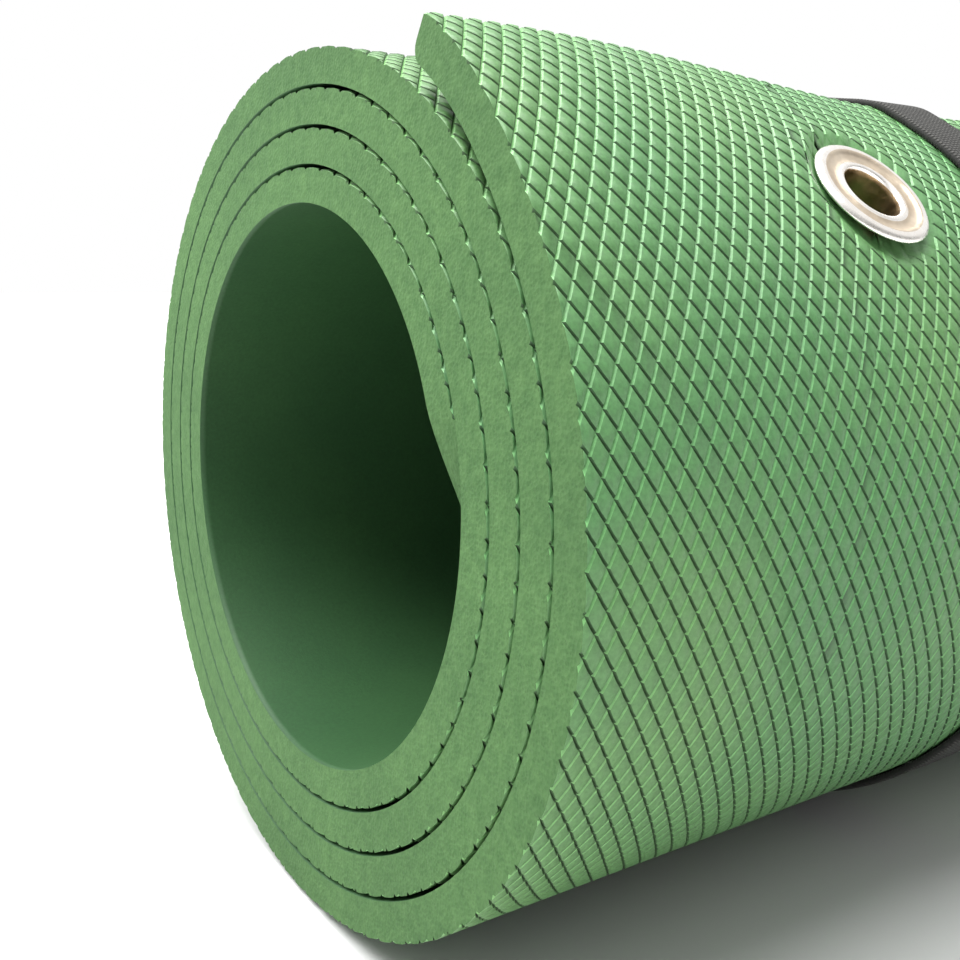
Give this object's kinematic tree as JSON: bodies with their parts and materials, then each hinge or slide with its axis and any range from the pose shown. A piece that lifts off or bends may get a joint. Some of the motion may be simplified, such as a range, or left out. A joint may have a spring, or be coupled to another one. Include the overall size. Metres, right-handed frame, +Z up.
{
  "type": "foam sleeping pad",
  "caption": "Closed-cell foam sleeping mat rolled up, with metal eyelets near its corners and webbing straps with cam buckles round the roll.",
  "frame": {"origin": "middle of the footprint on the surface that the roll lies on", "axes": "+X along the roll from the left end to the right end, +Z up, +Y towards the buckles"},
  "size_m": [0.6, 0.1986, 0.1677],
  "materials": {
    "foam": "matte closed-cell foam, embossed on the outer face",
    "nickel": "satin nickel plate",
    "webbing": "woven polyester",
    "elastic": "woven elastic",
    "black_steel": "satin black powder coat",
    "black_plastic": "moulded, fine spark grain",
    "steel": "zinc plated"
  },
  "bodies": {
    "root": {"mat": "foam", "outer_left_eyelet": "nickel", "outer_left_washer": "nickel", "outer_right_eyelet": "nickel", "outer_right_washer": "nickel", "inner_left_eyelet": "nickel", "inner_left_washer": "nickel", "inner_right_eyelet": "nickel", "inner_right_washer": "nickel"},
    "left_strap": {"left_webbing": "webbing", "left_buckle_frame": "black_steel", "left_cam_pin": "steel", "left_cam_spring": "steel", "left_keeper": "elastic"},
    "left_cam": {"left_cam_lever": "black_plastic"},
    "right_strap": {"right_webbing": "webbing", "right_buckle_frame": "black_steel", "right_cam_pin": "steel", "right_cam_spring": "steel", "right_keeper": "elastic"},
    "right_cam": {"right_cam_lever": "black_plastic"}
  },
  "joints": [
    {"name": "left_strap_slide", "type": "slide", "parent": "root", "child": "left_strap", "axis": [1, 0, 0], "range_m": [0, 0.165]},
    {"name": "left_cam_press", "type": "hinge", "parent": "left_strap", "child": "left_cam", "pos_m": [-0.1825, 0.08872, 0.06379], "axis": [-1, 0, 0], "range_deg": [0, 30], "stiffness_Nm_per_rad": 0.05, "springref_deg": -28.65},
    {"name": "right_strap_slide", "type": "slide", "parent": "root", "child": "right_strap", "axis": [1, 0, 0], "range_m": [-0.165, 0]},
    {"name": "right_cam_press", "type": "hinge", "parent": "right_strap", "child": "right_cam", "pos_m": [0.1825, 0.08872, 0.06379], "axis": [-1, 0, 0], "range_deg": [0, 30], "stiffness_Nm_per_rad": 0.05, "springref_deg": -28.65}
  ]
}
